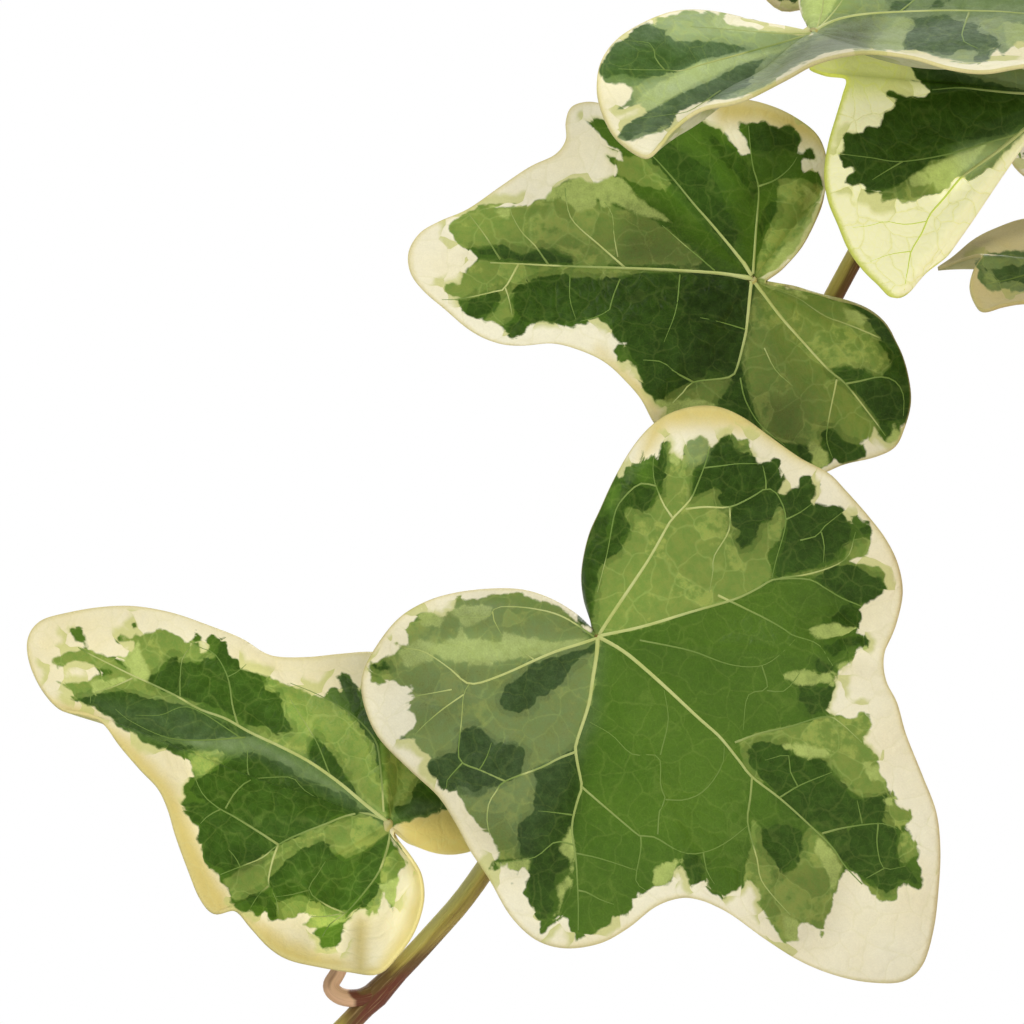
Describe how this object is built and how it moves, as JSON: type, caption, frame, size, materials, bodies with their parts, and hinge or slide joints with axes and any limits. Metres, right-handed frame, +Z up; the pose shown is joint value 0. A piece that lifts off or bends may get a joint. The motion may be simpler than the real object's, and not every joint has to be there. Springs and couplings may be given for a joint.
{
  "type": "potted white wonder english ivy",
  "caption": "Potted english ivy with trailing leafy stems, broad lobed leaves in greens edged with cream, and a plain clay pot filled with soil.",
  "frame": {"origin": "centre of the pot's flat base, on the surface that it stands on", "axes": "+Z up, the long trailing shoot leaves the pot toward -X, the picture looks along +Y"},
  "size_m": [0.3187, 0.2232, 0.1796],
  "materials": {
    "pot_clay": "matte unglazed clay",
    "potting_soil": "crumbly dark potting soil with pale grains",
    "leaf_variegated": "semi-gloss living leaf, two greens and grey-green edged with cream",
    "stem_bark": "smooth olive to red-brown stem"
  },
  "bodies": {
    "root": {"pot": "pot_clay", "soil": "potting_soil", "shoot_long": "leaf_variegated", "shoot_01": "leaf_variegated", "shoot_02": "leaf_variegated", "shoot_03": "leaf_variegated", "shoot_04": "leaf_variegated", "shoot_05": "leaf_variegated", "shoot_06": "leaf_variegated", "shoot_07": "leaf_variegated", "shoot_08": "leaf_variegated", "shoot_09": "leaf_variegated", "shoot_10": "leaf_variegated", "shoot_11": "leaf_variegated", "shoot_12": "leaf_variegated", "shoot_13": "leaf_variegated"}
  },
  "joints": []
}
